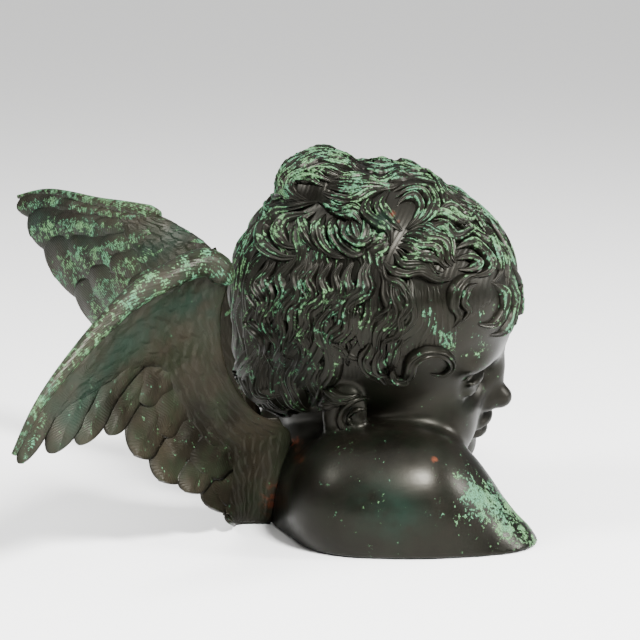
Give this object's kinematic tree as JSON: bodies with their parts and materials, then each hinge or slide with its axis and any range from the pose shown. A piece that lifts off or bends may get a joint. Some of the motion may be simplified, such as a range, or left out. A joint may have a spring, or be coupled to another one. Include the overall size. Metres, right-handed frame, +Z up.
{
  "type": "copper cherub sculpture",
  "caption": "Bust of a winged child in patinated cast metal, head bent over the right shoulder, with curled hair and spread feathered wings.",
  "frame": {"origin": "on the flat underside, below the middle of the chest", "axes": "+Z up; the chest looks toward -Y; the child's right side and right wing are toward -X"},
  "size_m": [0.2966, 0.2566, 0.1878],
  "materials": {
    "figure_bronze": "dark brown-black patinated copper alloy, satin, with mint green verdigris on the raised hair and shoulder",
    "wing_bronze": "dark brown patinated copper alloy, satin, with green verdigris on the leading edges and reddish copper at the root"
  },
  "bodies": {
    "root": {"figure": "figure_bronze", "wing_right": "wing_bronze", "wing_left": "wing_bronze"}
  },
  "joints": []
}
